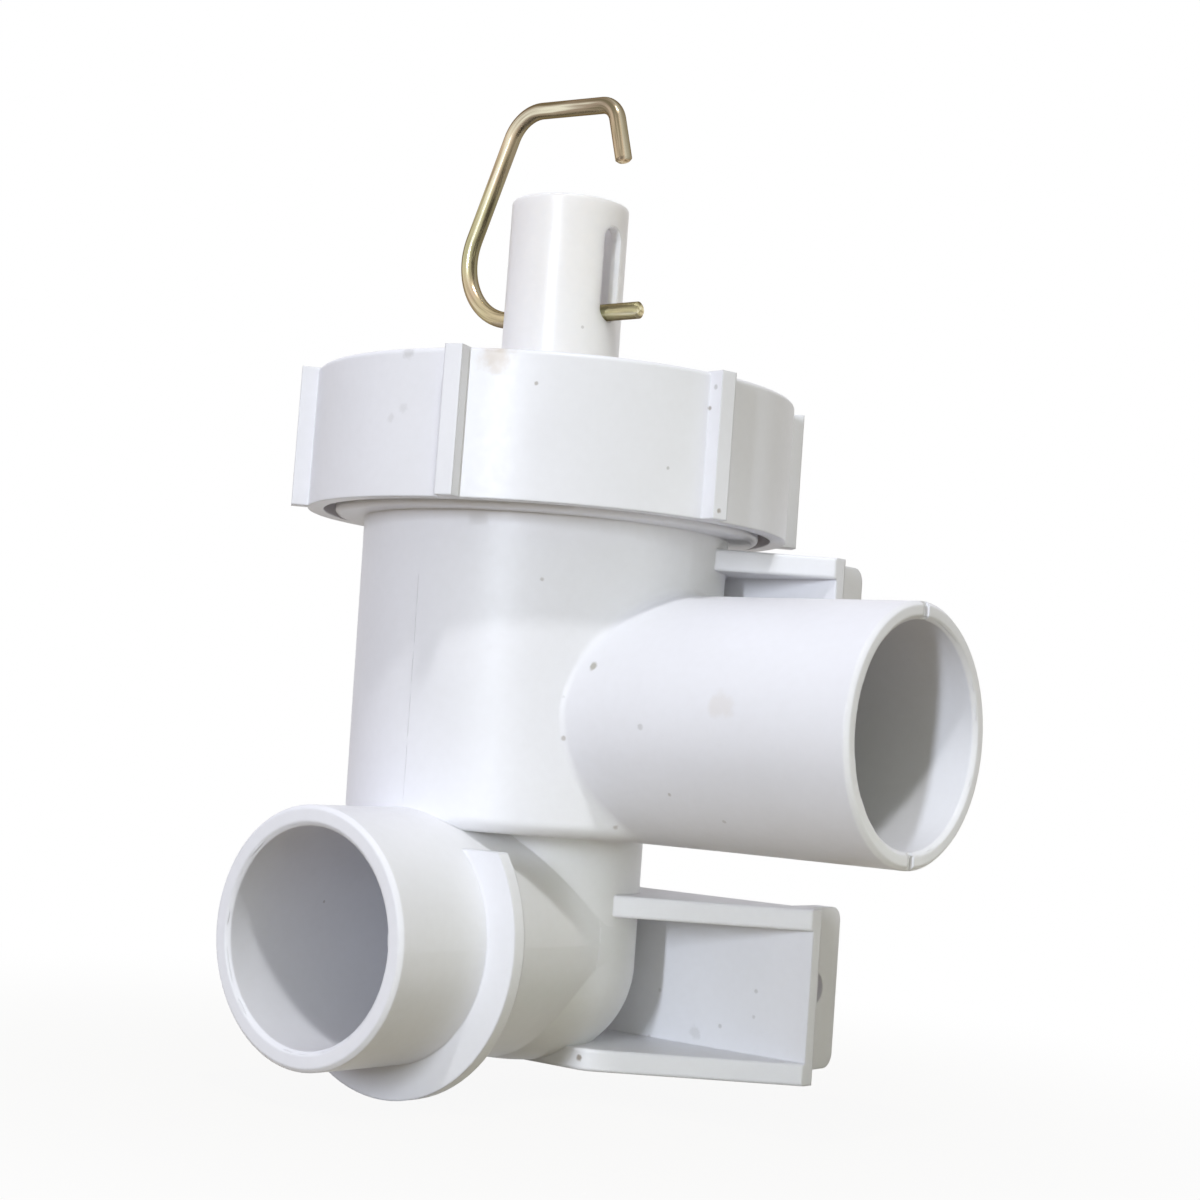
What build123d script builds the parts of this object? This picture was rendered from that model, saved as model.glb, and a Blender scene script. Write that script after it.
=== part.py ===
from build123d import *
import os
from math import cos, hypot, pi

# Spigots, elbow and collar. The inlet points along -Y, the outlet along +X, the valve axis is Z.
inlet_bore_r = 13.45
inlet_wall = 2.55
inlet_reach = 39.55
outlet_bore_r = 13.8
outlet_wall = 2.2
outlet_reach = 59.65
mouth_chamfer = 0.5
root_draft = 0.15
seat_room = 0.5
elbow_floor = 3.0
elbow_wall = 2.5
elbow_round = 13.0
throat_r = 13.5
collar_rim = 4.4
collar_t = 1.9
collar_front = 24.5
collar_drop = 2.0
nick_w = 1.3
nick_depth = 0.6

# Chamber, seat and neck
chamber_z = 30.2
chamber_floor = 1.9
chamber_bore_r = 22.0
chamber_wall = 2.15
chamber_draft = 0.5
chamber_h = 40.15
step_round = 1.8
outlet_fillet = 1.2
seat_lip_w = 2.0
seat_lip_h = 1.8
neck_bore_r = 26.2
neck_wall = 2.4
neck_h = 14.3
neck_round = 0.8

# Bracket boxes and their ears
bracket_front = -1.6
bracket_bend_x = 14.2
bracket_bend_round = 4.0
bracket_slope = 39.6
bracket_end_x = 36.0
bracket_h = 22.8
bracket_pitch = 46.0
rib_t = 2.85
rib_edge_r = 0.4
web_front = 16.9
web_t = 1.9
ear_face_x = 32.0
ear_t = 2.5
ear_w = 10.9
ear_h = 21.6
ear_corner_r = 2.0
ear_lift = 1.0
screw_r = 2.1

# Screw cap
cap_thread_room = 1.6
cap_wall = 2.1
cap_top_t = 2.4
cap_h = 18.55
cap_edge_r = 0.6
grip_count = 6
grip_w = 2.35
grip_h = 2.2
grip_angle = -72.0
boss_wall = 2.0
boss_h = 8.0

# Guide sleeve
sleeve_bore_r = 6.4
sleeve_wall = 1.6
sleeve_above_cap = 25.7
sleeve_edge_r = 0.5
slot_w = 3.5
slot_play = 0.15
spring_flange_rim = 4.6
spring_flange_t = 1.8
foot_rim = 2.0
foot_t = 2.0
foot_floor = 1.5
bar_r = 1.5
bar_lift = 4.0

# Rubber bellows and plug
flange_t = 2.4
flange_inset = 0.3
plug_rim = 2.5
plug_face_t = 2.7
plug_neck_t = 2.8
plug_nose_h = 4.0
plug_nose_gap = 0.8
plug_nose_taper = 2.0
bellows_folds = 5
bellows_depth = 4.2
bellows_wall = 1.3
bellows_skirt = 3.5

# Springs
outer_wire_r = 0.8
outer_turns = 7
inner_wire_r = 0.6
inner_coil_r = 4.3
inner_turns = 12
inner_hook_sweep = 165.0

# Pull hook, bent from one wire in the plane of X and Z
wire_r = 1.15
leg_above_cap = 10.5
leg_end_x = 13.3
hook_side_x = -22.2
hook_top_x = -10.2
hook_h = 29.5
hook_nose_x = 6.5
hook_nose_drop = 0.8
hook_tip_x = 8.7
hook_tip_drop = 8.9
hook_side_bend = 8.7
hook_top_bend = 5.5
hook_nose_bend = 3.0
hook_travel = 10.4

# Room between pieces
running_gap = 0.3
spring_gap = 0.5
touch_gap = 0.1

# Sizes that follow from those above
inlet_r = inlet_bore_r + inlet_wall
outlet_r = outlet_bore_r + outlet_wall
inlet_z = elbow_floor + inlet_bore_r
elbow_r = throat_r + elbow_wall
floor_z = chamber_z + chamber_floor
outlet_z = floor_z + outlet_bore_r
seat_z = floor_z + seat_lip_h
chamber_r = chamber_bore_r + chamber_wall
neck_z = chamber_z + chamber_h
neck_r = neck_bore_r + neck_wall
neck_top = neck_z + neck_h
cap_under = neck_top + flange_t
cap_top = cap_under + cap_top_t
cap_bore_r = neck_r + cap_thread_room
cap_r = cap_bore_r + cap_wall
web_back = web_front + web_t
sleeve_r = sleeve_bore_r + sleeve_wall
sleeve_top = cap_top + sleeve_above_cap
cap_hole_r = sleeve_r + running_gap
boss_r = cap_hole_r + boss_wall
foot_z = seat_z + plug_face_t
spring_flange_z = foot_z + foot_t + plug_neck_t
spring_seat_z = spring_flange_z + spring_flange_t
bar_z = spring_seat_z + bar_lift
leg_z = cap_top + leg_above_cap
outer_coil_r = boss_r + spring_gap + outer_wire_r
bellows_bore_r = max(outer_coil_r + outer_wire_r, sleeve_r + spring_flange_rim) + spring_gap
bellows_z = spring_seat_z + bellows_skirt
hook_inner_r = inner_coil_r - inner_wire_r


def bracket_outline():
    """The ribs in plan: square under the body, then cut away on a slope towards the ear."""
    run = bracket_end_x - bracket_bend_x
    rise = Vector(run, 0).rotate(Axis.Z, bracket_slope)
    end_y = bracket_front + run * rise.Y / rise.X
    corners = [
        (0, bracket_front),
        (bracket_bend_x, bracket_front),
        (bracket_end_x, end_y),
        (bracket_end_x, web_back),
        (0, web_back),
    ]
    outline = make_face(Polyline(*corners, close=True))
    bend = outline.vertices().sort_by_distance((bracket_bend_x, bracket_front, 0))[0]
    return fillet(bend, bracket_bend_round)


def bracket():
    """One box, open to the front: two ribs, the web behind them and the ear with its screw hole."""
    rib = extrude(bracket_outline(), rib_t)
    rib = fillet(rib.edges().filter_by(lambda e: e.center().Y < web_front and e.center().X > 0), rib_edge_r)
    web = Pos(0, web_front, 0) * Box(
        bracket_end_x, web_t, bracket_h, align=(Align.MIN, Align.MIN, Align.MIN)
    )
    plate = RectangleRounded(ear_w + web_t, ear_h, ear_corner_r) - Pos(web_t / 2, 0) * Circle(screw_r)
    facing = Plane((ear_face_x, web_back + (ear_w - web_t) / 2, ear_lift + ear_h / 2), (0, 1, 0), (1, 0, 0))
    ear = extrude(facing * plate, -ear_t)
    return rib + Pos(0, 0, bracket_h - rib_t) * rib + web + ear


def spigot(outer_r, seat, reach):
    """A hose stub along Z from the valve axis: a root with draft, then the hose's straight seat."""
    root = Cone(outer_r + root_draft, outer_r, seat, align=(Align.CENTER, Align.CENTER, Align.MIN))
    stub = Cylinder(outer_r, reach - seat, align=(Align.CENTER, Align.CENTER, Align.MIN))
    stub = chamfer(stub.edges().sort_by(Axis.Z)[-1], mouth_chamfer)
    return root + Pos(0, 0, seat) * stub


def bore(bore_r, reach):
    """What a spigot's bore takes away, with a chamfer at the mouth."""
    hole = Cylinder(bore_r, reach, align=(Align.CENTER, Align.CENTER, Align.MIN))
    mouth = Cone(
        bore_r, bore_r + mouth_chamfer, mouth_chamfer, align=(Align.CENTER, Align.CENTER, Align.MAX)
    )
    return hole + Pos(0, 0, reach) * mouth


def valve_body():
    to_inlet = Pos(0, 0, inlet_z) * Rot(90, 0, 0)
    to_outlet = Pos(0, 0, outlet_z) * Rot(0, 90, 0)

    top_r = chamber_r + chamber_draft
    half = [
        Polyline((0, 0), (elbow_r - elbow_round, 0)),
        JernArc((elbow_r - elbow_round, 0), (1, 0), elbow_round, 90),
        Polyline((elbow_r, elbow_round), (elbow_r, chamber_z), (chamber_r - step_round, chamber_z)),
        JernArc((chamber_r - step_round, chamber_z), (1, 0), step_round, 90),
        Polyline((chamber_r, chamber_z + step_round), (top_r, neck_z), (neck_r - neck_round, neck_z)),
        JernArc((neck_r - neck_round, neck_z), (1, 0), neck_round, 90),
        Polyline((neck_r, neck_z + neck_round), (neck_r, neck_top), (0, neck_top), (0, 0)),
    ]
    body = revolve(Plane.XZ * make_face(half), Axis.Z)
    body += to_outlet * spigot(outlet_r, bracket_end_x + seat_room, outlet_reach)
    root = body.edges().filter_by(lambda e: hypot(e.center().X, e.center().Y) < chamber_r + outlet_fillet)
    root = [e for e in root if e.geom_type not in (GeomType.LINE, GeomType.CIRCLE)]
    body = fillet(root, outlet_fillet)

    body += to_inlet * spigot(inlet_r, collar_front, inlet_reach)
    collar = to_inlet * Pos(0, 0, collar_front) * Cylinder(
        inlet_r + collar_rim, collar_t, align=(Align.CENTER, Align.CENTER, Align.MAX)
    )
    above = Pos(0, 0, chamber_z - collar_drop) * Box(
        4 * collar_front, 4 * collar_front, collar_front, align=(Align.CENTER, Align.CENTER, Align.MIN)
    )
    body += collar - above
    body += bracket() + Pos(0, 0, bracket_pitch) * bracket()

    body -= to_inlet * bore(inlet_bore_r, inlet_reach)
    body -= Pos(0, 0, inlet_z) * Sphere(inlet_bore_r)
    body -= to_outlet * bore(outlet_bore_r, outlet_reach)
    shaft = [
        (0, inlet_z),
        (throat_r, inlet_z),
        (throat_r, floor_z),
        (chamber_bore_r, floor_z),
        (chamber_bore_r, neck_z + neck_wall),
        (neck_bore_r, neck_z + neck_wall),
        (neck_bore_r, neck_top),
        (0, neck_top),
    ]
    body -= revolve(Plane.XZ * make_face(Polyline(*shaft, close=True)), Axis.Z)
    lip = Circle(throat_r + seat_lip_w) - Circle(throat_r)
    body += Pos(0, 0, floor_z) * extrude(lip, seat_lip_h)
    for side in (outlet_r, -outlet_r):
        body -= Pos(outlet_reach, 0, outlet_z + side) * Box(2 * nick_depth, nick_w, 2 * outlet_wall + nick_w)
    return body


def screw_cap():
    cup = Cylinder(cap_r, cap_h, align=(Align.CENTER, Align.CENTER, Align.MIN))
    cup = fillet(cup.edges().sort_by(Axis.Z)[-1], cap_edge_r)
    grip = Box(cap_wall + grip_h, grip_w, cap_h, align=(Align.MIN, Align.CENTER, Align.MIN))
    cup += PolarLocations(cap_bore_r, grip_count, grip_angle) * grip
    cup -= Cylinder(cap_bore_r, cap_h - cap_top_t, align=(Align.CENTER, Align.CENTER, Align.MIN))
    cup += Pos(0, 0, cap_h - cap_top_t) * Cylinder(
        boss_r, boss_h, align=(Align.CENTER, Align.CENTER, Align.MAX)
    )
    cup -= Cylinder(cap_hole_r, 2 * cap_h)
    return Pos(0, 0, cap_top - cap_h) * cup


def guide_sleeve():
    """The stem: a tube with a spring flange, a foot that the plug holds, a bar and two long slots."""
    flange_r = sleeve_r + spring_flange_rim
    foot_r = sleeve_r + foot_rim
    half = [
        Polyline(
            (sleeve_bore_r, sleeve_top),
            (sleeve_bore_r, foot_z + foot_floor),
            (0, foot_z + foot_floor),
            (0, foot_z),
            (foot_r, foot_z),
            (foot_r, foot_z + foot_t),
            (sleeve_r, foot_z + foot_t),
            (sleeve_r, spring_flange_z),
            (flange_r, spring_flange_z),
            (flange_r, spring_seat_z),
            (sleeve_r, spring_seat_z),
            (sleeve_r, sleeve_top - sleeve_edge_r),
        ),
        JernArc((sleeve_r, sleeve_top - sleeve_edge_r), (0, 1), sleeve_edge_r, 90),
        Polyline((sleeve_r - sleeve_edge_r, sleeve_top), (sleeve_bore_r, sleeve_top)),
    ]
    sleeve = revolve(Plane.XZ * make_face(half), Axis.Z)
    slot_low = leg_z - wire_r - slot_play
    slot_high = leg_z + hook_travel + wire_r + slot_play
    slot_middle = Plane((0, 0, (slot_low + slot_high) / 2), (0, 0, 1), (1, 0, 0))
    sleeve -= extrude(slot_middle * SlotOverall(slot_high - slot_low, slot_w), sleeve_r, both=True)
    sleeve += Pos(0, 0, bar_z) * Rot(0, 90, 0) * Cylinder(bar_r, 2 * sleeve_bore_r + sleeve_wall)
    return sleeve


def fold_line(wall_offset):
    """One face of the folded wall, from the plug up to the flange."""
    points = []
    steps = 4 * bellows_folds
    for step in range(steps + 1):
        share = step / steps
        swell = bellows_depth * (1 + cos(2 * pi * bellows_folds * share)) / 2
        points.append((bellows_bore_r + swell + wall_offset, bellows_z + share * (neck_top - bellows_z)))
    return Spline(*points, tangents=((0, 1), (0, 1)))


def rubber_bellows():
    crest_r = bellows_bore_r + bellows_depth
    plug_r = throat_r + seat_lip_w + plug_rim
    nose_r = throat_r - plug_nose_gap
    neck_hole_r = sleeve_r + running_gap
    pocket_r = sleeve_r + foot_rim + running_gap
    pocket_top = foot_z + foot_t + touch_gap
    outside = fold_line(bellows_wall)
    inside = fold_line(0)
    half = [
        outside,
        Polyline(
            outside @ 1,
            (neck_r - flange_inset, neck_top),
            (neck_r - flange_inset, cap_under),
            (crest_r, cap_under),
            inside @ 1,
        ),
        inside,
        Polyline(
            inside @ 0,
            (crest_r, spring_flange_z),
            (neck_hole_r, spring_flange_z),
            (neck_hole_r, pocket_top),
            (pocket_r, pocket_top),
            (pocket_r, foot_z),
            (0, foot_z),
            (0, seat_z - plug_nose_h),
            (nose_r - plug_nose_taper, seat_z - plug_nose_h),
            (nose_r, seat_z),
            (plug_r, seat_z),
            (crest_r + bellows_wall, bellows_z - bellows_skirt),
            outside @ 0,
        ),
    ]
    return revolve(Plane.XZ * make_face(half), Axis.Z)


def coil(coil_r, round_wire_r, turns, low, high):
    """A wire wound at one pitch about Z, from low to high, starting above the +Y side."""
    helix = Pos(0, 0, low) * Rot(0, 0, 90) * Helix((high - low) / turns, high - low, coil_r)
    return sweep(Plane(helix @ 0, z_dir=helix % 0) * Circle(round_wire_r), helix)


def outer_spring():
    end_room = outer_wire_r + touch_gap
    return coil(outer_coil_r, outer_wire_r, outer_turns, spring_seat_z + end_room, cap_under - end_room)


def end_hook(middle_z, turn):
    """The half loop at one end of the tension spring, which starts on the coil's +Y side."""
    loop = Pos(0, 0, middle_z) * Edge.make_circle(inner_coil_r, Plane((0, 0, 0), (0, 1, 0), (1, 0, 0)))
    share = inner_hook_sweep / 360
    path = loop.trim(0, share) if turn > 0 else loop.trim(1 - share, 1)
    bent = sweep(Plane(path @ 0, z_dir=path % 0) * Circle(inner_wire_r), path)
    return bent + Pos(0, inner_coil_r, middle_z) * Sphere(inner_wire_r)


def inner_spring():
    low = bar_z - bar_r - touch_gap + hook_inner_r
    high = leg_z + wire_r + touch_gap - hook_inner_r
    wound = coil(inner_coil_r, inner_wire_r, inner_turns, low, high)
    return wound + end_hook(low, -1) + end_hook(high, 1)


def pull_hook():
    corners = [
        (leg_end_x, 0, leg_z),
        (hook_side_x, 0, leg_z),
        (hook_top_x, 0, leg_z + hook_h),
        (hook_nose_x, 0, leg_z + hook_h - hook_nose_drop),
        (hook_tip_x, 0, leg_z + hook_h - hook_tip_drop),
    ]
    path = FilletPolyline(*corners, radius=[hook_side_bend, hook_top_bend, hook_nose_bend])
    return sweep(Plane(path @ 0, z_dir=path % 0) * Circle(wire_r), path)


nodes = {
    "valve_body": valve_body,
    "screw_cap": screw_cap,
    "guide_sleeve": guide_sleeve,
    "rubber_bellows": rubber_bellows,
    "outer_spring": outer_spring,
    "inner_spring": inner_spring,
    "pull_hook": pull_hook,
}

os.makedirs("parts", exist_ok=True)
for name, make in nodes.items():
    export_step(make(), f"parts/{name}.step")
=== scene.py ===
# %% [markdown]
# A drain valve in white moulded plastic: an elbow with two hose spigots, a screw cap, a sleeve that
# slides through the cap, and a bent wire hook that pulls the sleeve up. The solids come in as a fixed
# frame, in metres, and each keeps its place. This first cell loads them and keeps their outer box,
# which sets the floor's height.

# %% Load the frame
import math

import bmesh
import bpy
from mathutils import Matrix, Vector, noise as fractal


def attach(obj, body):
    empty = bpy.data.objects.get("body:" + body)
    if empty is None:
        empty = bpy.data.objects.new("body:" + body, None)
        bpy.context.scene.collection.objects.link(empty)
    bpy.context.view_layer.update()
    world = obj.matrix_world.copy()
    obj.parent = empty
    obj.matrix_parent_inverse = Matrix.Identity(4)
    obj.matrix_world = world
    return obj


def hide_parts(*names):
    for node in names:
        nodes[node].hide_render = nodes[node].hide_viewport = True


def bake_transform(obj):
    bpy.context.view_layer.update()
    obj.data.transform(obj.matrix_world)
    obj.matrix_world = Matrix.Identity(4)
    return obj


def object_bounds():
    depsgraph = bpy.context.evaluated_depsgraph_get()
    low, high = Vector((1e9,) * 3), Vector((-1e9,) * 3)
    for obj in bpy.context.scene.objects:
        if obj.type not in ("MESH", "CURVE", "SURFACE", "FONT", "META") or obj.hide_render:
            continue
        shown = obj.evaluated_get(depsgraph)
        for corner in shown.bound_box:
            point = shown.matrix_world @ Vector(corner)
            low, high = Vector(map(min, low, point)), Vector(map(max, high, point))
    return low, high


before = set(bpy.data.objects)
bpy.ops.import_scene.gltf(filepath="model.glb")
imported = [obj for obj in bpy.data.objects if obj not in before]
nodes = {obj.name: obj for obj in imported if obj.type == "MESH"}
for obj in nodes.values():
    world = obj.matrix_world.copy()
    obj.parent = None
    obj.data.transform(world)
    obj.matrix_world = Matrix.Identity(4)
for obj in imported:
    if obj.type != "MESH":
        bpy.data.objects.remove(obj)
cad_box = [list(corner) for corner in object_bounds()]
MM = 0.001
scene = bpy.context.scene
print("nodes:", sorted(nodes))

# %% [markdown]
# The camera stands low, looks slightly up, and is turned a little about its own axis. Its place comes
# from a fit to the rims and edges of the valve, so the values look odd, but together they give the
# same outline as the photograph. A camera looks along its own -Z, so the matrix holds the picture's
# right, its up, and the direction back towards the photographer.

# %% Camera
VIEW_AZIMUTH = math.radians(38.554)
VIEW_ELEVATION = math.radians(-3.691)
VIEW_ROLL = math.radians(4.172)
VIEW_DISTANCE = 300.506 * MM
VIEW_SIDE = 7.872 * MM
VIEW_HEIGHT = 61.612 * MM
FOCAL_IN_PICTURE_WIDTHS = 2219.62 / 1200
SENSOR_MM = 36


def direction(azimuth, elevation):
    """Unit vector towards a place seen from the valve: azimuth 0 is -Y, and 90 degrees is +X."""
    return Vector(
        (
            math.sin(azimuth) * math.cos(elevation),
            -math.cos(azimuth) * math.cos(elevation),
            math.sin(elevation),
        )
    )


def set_camera():
    back = direction(VIEW_AZIMUTH, VIEW_ELEVATION)
    level = Vector((math.cos(VIEW_AZIMUTH), math.sin(VIEW_AZIMUTH), 0))
    rise = back.cross(level)
    right = level * math.cos(VIEW_ROLL) + rise * math.sin(VIEW_ROLL)
    up = rise * math.cos(VIEW_ROLL) - level * math.sin(VIEW_ROLL)
    place = level * VIEW_SIDE + Vector((0, 0, VIEW_HEIGHT)) + back * VIEW_DISTANCE
    lens = bpy.data.cameras.new("photo_camera")
    lens.sensor_width = SENSOR_MM
    lens.lens = SENSOR_MM * FOCAL_IN_PICTURE_WIDTHS
    lens.clip_start = 0.01
    camera = bpy.data.objects.new("photo_camera", lens)
    scene.collection.objects.link(camera)
    turn = Matrix((right, up, back)).transposed()
    camera.matrix_world = Matrix.Translation(place) @ turn.to_4x4()
    scene.camera = camera
    return place


camera_place = set_camera()
print("camera at", [round(v, 4) for v in camera_place])

# %% [markdown]
# Shaders and Geometry Nodes are both trees of nodes, so one small helper adds a node to either. Into
# each socket goes a link from another node, or a plain value. Short helpers for arithmetic, noise,
# ranges and colour mixes keep the trees below readable.

# %% Node helpers


def add(tree, kind, into=None, **properties):
    """New node with its properties set, and with a link or a value in each socket named by into."""
    node = tree.nodes.new(kind)
    for name, value in properties.items():
        setattr(node, name, value)
    for socket, value in (into or {}).items():
        if isinstance(value, bpy.types.NodeSocket):
            tree.links.new(value, node.inputs[socket])
        else:
            node.inputs[socket].default_value = value
    return node


def calc(tree, operation, *terms):
    return add(tree, "ShaderNodeMath", dict(enumerate(terms)), operation=operation).outputs[0]


def spread(tree, value, start, end, low, high, interpolation_type="LINEAR"):
    """Maps a value from the range start..end to low..high."""
    limits = {"Value": value, "From Min": start, "From Max": end, "To Min": low, "To Max": high}
    return add(tree, "ShaderNodeMapRange", limits, interpolation_type=interpolation_type).outputs["Result"]


def grain(tree, place, scale, detail=2.0):
    into = {"Vector": place, "Scale": scale, "Detail": detail}
    return add(tree, "ShaderNodeTexNoise", into).outputs["Fac"]


def ramp(tree, value, tones, start, end):
    """Colours spaced evenly over the range start..end of a value."""
    node = add(tree, "ShaderNodeValToRGB", {"Fac": value})
    steps = node.color_ramp.elements
    while len(steps) < len(tones):
        steps.new(0.5)
    for k, tone in enumerate(tones):
        steps[k].position = start + (end - start) * k / (len(tones) - 1)
        steps[k].color = (*tone, 1)
    return node.outputs["Color"]


def mix_colour(tree, share, below, above):
    colours = [c if isinstance(c, bpy.types.NodeSocket) else (*c, 1) for c in (below, above)]
    into = {0: share, 6: colours[0], 7: colours[1]}
    return add(tree, "ShaderNodeMix", into, data_type="RGBA").outputs[2]


def bump(tree, height, strength, depth, normal=None):
    into = {"Height": height, "Strength": strength, "Distance": depth}
    if normal:
        into["Normal"] = normal
    return add(tree, "ShaderNodeBump", into).outputs[0]


# %% [markdown]
# The photograph has a low light just left of the camera. It is narrow and tall, so that the elbow throws
# a sharp upright edge on to the bracket, while the shade of the ribs and the cap is soft. A second
# light from above leaves the cap's shade on the chamber. A weak one on the right greens that side, and a
# narrow beam from low on the right lifts the elbow. The world fills in the rest. The floor and the
# world look white to the camera, and the floor still carries some of the valve's shadow.

# %% Lights, world and floor
KEY_BLUE, TOP_WHITE = (0.83, 0.89, 1.0), (0.96, 0.975, 1.0)
SIDE_GREEN, LOW_GREEN = (0.93, 1.0, 0.78), (0.93, 1.0, 0.88)
MIDDLE, ELBOW = Vector((0.005, 0, 0.055)), Vector((14, 0, 22)) * MM
FILL_STRENGTH, FILL_AZIMUTH = 0.5, math.radians(62)
FILL_LEFT, FILL_RIGHT = (0.79, 0.73, 0.89), (0.95, 1.0, 0.77)
FLOOR_GAP, FLOOR_HALF, FLOOR_BOUNCE = 0.0002, 1.5, (0.245, 0.20, 0.12)
SHADE_FROM, SHADE_TO, SHADE_WHITE, FLOOR_ROUGHNESS = 0.03, 0.16, 0.93, 0.9


def lamp(name, colour, azimuth, elevation, distance, width, height, power, aim=MIDDLE, beam=180):
    """Flat lamp, turned to what it lights. Its direction and the width of its beam are in degrees."""
    light = bpy.data.lights.new(name, "AREA")
    light.shape = "RECTANGLE"
    light.size, light.size_y = width, height
    light.energy = power
    light.color = colour
    light.spread = math.radians(beam)
    lamp_object = bpy.data.objects.new(name, light)
    scene.collection.objects.link(lamp_object)
    away = direction(math.radians(azimuth), math.radians(elevation))
    turn = away.to_track_quat("Z", "Y").to_matrix().to_4x4()
    lamp_object.matrix_world = Matrix.Translation(aim + away * distance) @ turn


def seen_white(tree, shader, kind, white_share):
    """Mixes a shader with plain white for rays that show the background."""
    path = add(tree, "ShaderNodeLightPath").outputs
    seen = calc(tree, "MAXIMUM", path["Is Camera Ray"], path["Is Glossy Ray"])
    seen = calc(tree, "MAXIMUM", seen, path["Is Transmission Ray"])
    share = calc(tree, "MULTIPLY", seen, white_share)
    white = add(tree, kind, {"Color": (1, 1, 1, 1), "Strength": 1.0}).outputs[0]
    return add(tree, "ShaderNodeMixShader", {0: share, 1: shader, 2: white}).outputs[0]


def set_world():
    world = bpy.data.worlds.new("studio")
    world.use_nodes = True
    tree = world.node_tree
    toward = add(tree, "ShaderNodeTexCoord").outputs["Generated"]
    into = {0: toward, 1: direction(FILL_AZIMUTH, 0)}
    side = add(tree, "ShaderNodeVectorMath", into, operation="DOT_PRODUCT").outputs["Value"]
    fill = tree.nodes["Background"]
    fill.inputs["Strength"].default_value = FILL_STRENGTH
    tree.links.new(ramp(tree, side, [FILL_LEFT, FILL_RIGHT], 0.0, 1.0), fill.inputs["Color"])
    mix = seen_white(tree, fill.outputs[0], "ShaderNodeBackground", 1.0)
    tree.links.new(mix, tree.nodes["World Output"].inputs["Surface"])
    scene.world = world


def set_floor():
    mesh = bpy.data.meshes.new("floor")
    level = cad_box[0][2] - FLOOR_GAP
    corners = [(-1, -1), (1, -1), (1, 1), (-1, 1)]
    mesh.from_pydata([(x * FLOOR_HALF, y * FLOOR_HALF, level) for x, y in corners], [], [(0, 1, 2, 3)])
    floor = bpy.data.objects.new("floor", mesh)
    scene.collection.objects.link(floor)
    paint = bpy.data.materials.new("pale_floor")
    paint.use_nodes = True
    tree = paint.node_tree
    surface = tree.nodes["Principled BSDF"]
    surface.inputs["Base Color"].default_value = (*FLOOR_BOUNCE, 1)
    surface.inputs["Roughness"].default_value = FLOOR_ROUGHNESS
    place = add(tree, "ShaderNodeTexCoord").outputs["Object"]
    reach = add(tree, "ShaderNodeVectorMath", {0: place}, operation="LENGTH").outputs["Value"]
    white_share = spread(tree, reach, SHADE_FROM, SHADE_TO, SHADE_WHITE, 1.0, "SMOOTHSTEP")
    mix = seen_white(tree, surface.outputs[0], "ShaderNodeEmission", white_share)
    tree.links.new(mix, tree.nodes["Material Output"].inputs["Surface"])
    mesh.materials.append(paint)


scene.view_settings.view_transform = "Standard"
set_world()
set_floor()
lamp("key_light", KEY_BLUE, azimuth=14, elevation=9, distance=1.2, width=0.05, height=0.28, power=7.4)
lamp("top_light", TOP_WHITE, azimuth=45, elevation=60, distance=1.0, width=0.07, height=0.07, power=3.9)
lamp("side_light", SIDE_GREEN, azimuth=100, elevation=-2, distance=0.6, width=0.2, height=0.2, power=0.30)
lamp(
    "low_light",
    LOW_GREEN,
    azimuth=72,
    elevation=1,
    distance=0.3,
    width=0.02,
    height=0.02,
    power=0.0011,
    aim=ELBOW,
    beam=20,
)

# %% [markdown]
# All the white pieces are moulded plastic. Under the eye such plastic isn't one flat white: it has a
# fine grain, a slow drift in tone, a few dark specks from handling, and edges that are softened by the
# tool. One function builds that node tree, and the pieces differ in its numbers. The Bevel node bends
# the normal near sharp edges, which catches a thin light as a moulded corner does. The sleeve lets some
# light through its thin wall, so it is milky. Its bore is painted lighter than its outside: a painted
# glow that stands for the light coming through the wall.

# %% White moulded plastic
MOTTLE_GREY, SPECK_BROWN = (0.70, 0.69, 0.70), (0.36, 0.33, 0.30)
MILKY_DEPTH = 4.0 * MM
# The lighter tone here is painted into the sleeve's bore, a painted glow.
MILKY_REACH, PAINTED_BORE_GLOW = (1.0, 0.95, 0.9), (0.97, 0.965, 0.955)
DRIFT_SCALE, WAVE_SCALE, MOTTLE_SCALE, FINE_SCALE = 55.0, 120.0, 900.0, 2600.0
SPECK_CELLS, SPECK_SIZE, PLASTIC_GLOSS = 150.0, 0.045, 0.45


def new_material(name):
    material = bpy.data.materials.new(name)
    material.use_nodes = True
    tree = material.node_tree
    return material, tree, tree.nodes["Principled BSDF"].inputs


def spot_mask(tree, place, middle, radius, ragged):
    """1 in the middle of a spot on the surface and 0 outside, with a ragged edge."""
    wander = grain(tree, place, 1.2 / radius, 3.0)
    away = add(tree, "ShaderNodeVectorMath", {0: place, 1: middle}, operation="DISTANCE").outputs["Value"]
    edge = calc(tree, "MULTIPLY_ADD", wander, ragged * radius, away)
    inner, outer = radius * (0.35 + ragged / 2), radius * (1.0 + ragged / 2)
    return spread(tree, edge, inner, outer, 1.0, 0.0, "SMOOTHSTEP")


def speck_mask(tree, place, share):
    """Tiny dots, each of its own strength, in a share of the cells of a Voronoi texture."""
    cells = add(tree, "ShaderNodeTexVoronoi", {"Vector": place, "Scale": SPECK_CELLS}).outputs
    lot = add(tree, "ShaderNodeSeparateColor", {"Color": cells["Color"]}).outputs
    dot = calc(tree, "LESS_THAN", cells["Distance"], SPECK_SIZE)
    dot = calc(tree, "MULTIPLY", dot, calc(tree, "LESS_THAN", lot[0], share))
    return calc(tree, "MULTIPLY", dot, lot[1])


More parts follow.
